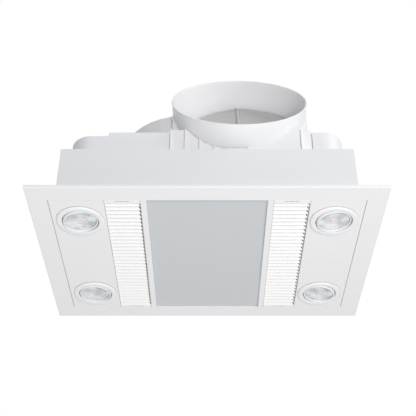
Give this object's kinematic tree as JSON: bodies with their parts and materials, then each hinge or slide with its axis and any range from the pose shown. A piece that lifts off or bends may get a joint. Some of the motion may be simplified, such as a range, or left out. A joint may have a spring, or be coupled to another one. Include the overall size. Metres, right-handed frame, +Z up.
{
  "type": "bathroom ceiling heater",
  "caption": "Flat ceiling heater and exhaust fan: framed glass heater panel, slatted air intakes, tilting lamps, box housing and a slanting duct collar with a shutter.",
  "frame": {"origin": "centre of the ceiling opening, in the plane where the back of the fascia meets the ceiling", "axes": "+X along the fascia's long side, +Z up into the ceiling, -Y towards the side that the duct collar opens to"},
  "size_m": [0.48, 0.345, 0.2918],
  "materials": {
    "fascia": "white moulded plastic, satin gloss",
    "louvre": "bright white moulded plastic",
    "lamp_trim": "white, smooth satin",
    "frosted_glass": "frosted toughened glass, grey and translucent",
    "lens_glass": "clear moulded lens",
    "quartz": "quartz tube with metal pinched ends",
    "cast_alloy": "die-cast lamp body with cooling grooves",
    "bright_aluminium": "polished reflector sheet",
    "spring_steel": "bright zinc plated",
    "coated_steel": "white powder coated sheet",
    "casing_plastic": "white moulded plastic, satin",
    "shutter_plastic": "grey moulded plastic",
    "motor_shell": "bare alloy shell",
    "ceramic": "unglazed steatite ceramic",
    "dark_plastic": "dark moulded plastic"
  },
  "bodies": {
    "housing": {"fascia_frame": "fascia", "lamp_panel_left": "fascia", "lamp_panel_right": "fascia", "louvre_grille_left": "louvre", "louvre_grille_right": "louvre", "front_glass": "frosted_glass", "glass_strip_front": "spring_steel", "glass_strip_rear": "spring_steel", "reflector": "bright_aluminium", "heat_tube_left": "quartz", "heat_tube_right": "quartz", "tube_holder_front_left": "ceramic", "tube_holder_front_right": "ceramic", "tube_holder_rear_left": "ceramic", "tube_holder_rear_right": "ceramic", "thermal_cutout": "dark_plastic", "housing_box": "coated_steel", "fascia_clip_front_left": "spring_steel", "fascia_clip_front_right": "spring_steel", "fascia_clip_rear_left": "spring_steel", "fascia_clip_rear_right": "spring_steel", "upper_casing": "casing_plastic", "scroll_casing": "casing_plastic", "outlet_hood": "casing_plastic", "duct_collar": "casing_plastic", "shutter_pin": "spring_steel", "inlet_ring": "casing_plastic", "motor": "motor_shell", "motor_capacitor": "casing_plastic", "terminal_box": "casing_plastic", "terminal_lid": "casing_plastic", "terminal_block": "dark_plastic", "cable_gland": "dark_plastic"},
    "lamp_turn_front_left": {"trim_ring_front_left": "lamp_trim", "retainer_ring_front_left": "dark_plastic"},
    "lamp_turn_front_right": {"trim_ring_front_right": "lamp_trim", "retainer_ring_front_right": "dark_plastic"},
    "lamp_turn_rear_left": {"trim_ring_rear_left": "lamp_trim", "retainer_ring_rear_left": "dark_plastic"},
    "lamp_turn_rear_right": {"trim_ring_rear_right": "lamp_trim", "retainer_ring_rear_right": "dark_plastic"},
    "lamp_front_left": {"gimbal_ring_front_left": "lamp_trim", "lamp_body_front_left": "cast_alloy", "lamp_lens_front_left": "lens_glass"},
    "lamp_front_right": {"gimbal_ring_front_right": "lamp_trim", "lamp_body_front_right": "cast_alloy", "lamp_lens_front_right": "lens_glass"},
    "lamp_rear_left": {"gimbal_ring_rear_left": "lamp_trim", "lamp_body_rear_left": "cast_alloy", "lamp_lens_rear_left": "lens_glass"},
    "lamp_rear_right": {"gimbal_ring_rear_right": "lamp_trim", "lamp_body_rear_right": "cast_alloy", "lamp_lens_rear_right": "lens_glass"},
    "fan_rotor": {"impeller": "dark_plastic", "fan_shaft": "spring_steel"},
    "shutter_left": {"shutter_leaf_left": "shutter_plastic"},
    "shutter_right": {"shutter_leaf_right": "shutter_plastic"}
  },
  "joints": [
    {"name": "turn_front_left", "type": "hinge", "parent": "housing", "child": "lamp_turn_front_left", "pos_m": [-0.1735, -0.098, -0.003], "axis": [0, 0, 1], "range_deg": [-170, 170]},
    {"name": "tilt_front_left", "type": "hinge", "parent": "lamp_turn_front_left", "child": "lamp_front_left", "pos_m": [-0.1735, -0.098, -0.003], "axis": [0, 1, 0], "range_deg": [-15, 25]},
    {"name": "turn_front_right", "type": "hinge", "parent": "housing", "child": "lamp_turn_front_right", "pos_m": [0.1735, -0.098, -0.003], "axis": [0, 0, 1], "range_deg": [-170, 170]},
    {"name": "tilt_front_right", "type": "hinge", "parent": "lamp_turn_front_right", "child": "lamp_front_right", "pos_m": [0.1735, -0.098, -0.003], "axis": [0, 1, 0], "range_deg": [-15, 25]},
    {"name": "turn_rear_left", "type": "hinge", "parent": "housing", "child": "lamp_turn_rear_left", "pos_m": [-0.1735, 0.098, -0.003], "axis": [0, 0, 1], "range_deg": [-170, 170]},
    {"name": "tilt_rear_left", "type": "hinge", "parent": "lamp_turn_rear_left", "child": "lamp_rear_left", "pos_m": [-0.1735, 0.098, -0.003], "axis": [0, 1, 0], "range_deg": [-20, 20]},
    {"name": "turn_rear_right", "type": "hinge", "parent": "housing", "child": "lamp_turn_rear_right", "pos_m": [0.1735, 0.098, -0.003], "axis": [0, 0, 1], "range_deg": [-170, 170]},
    {"name": "tilt_rear_right", "type": "hinge", "parent": "lamp_turn_rear_right", "child": "lamp_rear_right", "pos_m": [0.1735, 0.098, -0.003], "axis": [0, 1, 0], "range_deg": [-25, 15]},
    {"name": "fan_spin", "type": "hinge", "parent": "housing", "child": "fan_rotor", "pos_m": [-0.032, -0.013, 0.12], "axis": [0, 0, 1], "continuous": true},
    {"name": "shutter_open_left", "type": "hinge", "parent": "housing", "child": "shutter_left", "pos_m": [0.0475, -0.08416, 0.17317], "axis": [0, 0.4741, 0.8805], "range_deg": [0, 75]},
    {"name": "shutter_open_right", "type": "hinge", "parent": "housing", "child": "shutter_right", "pos_m": [0.0475, -0.08416, 0.17317], "axis": [0, -0.4741, -0.8805], "range_deg": [0, 75]}
  ]
}
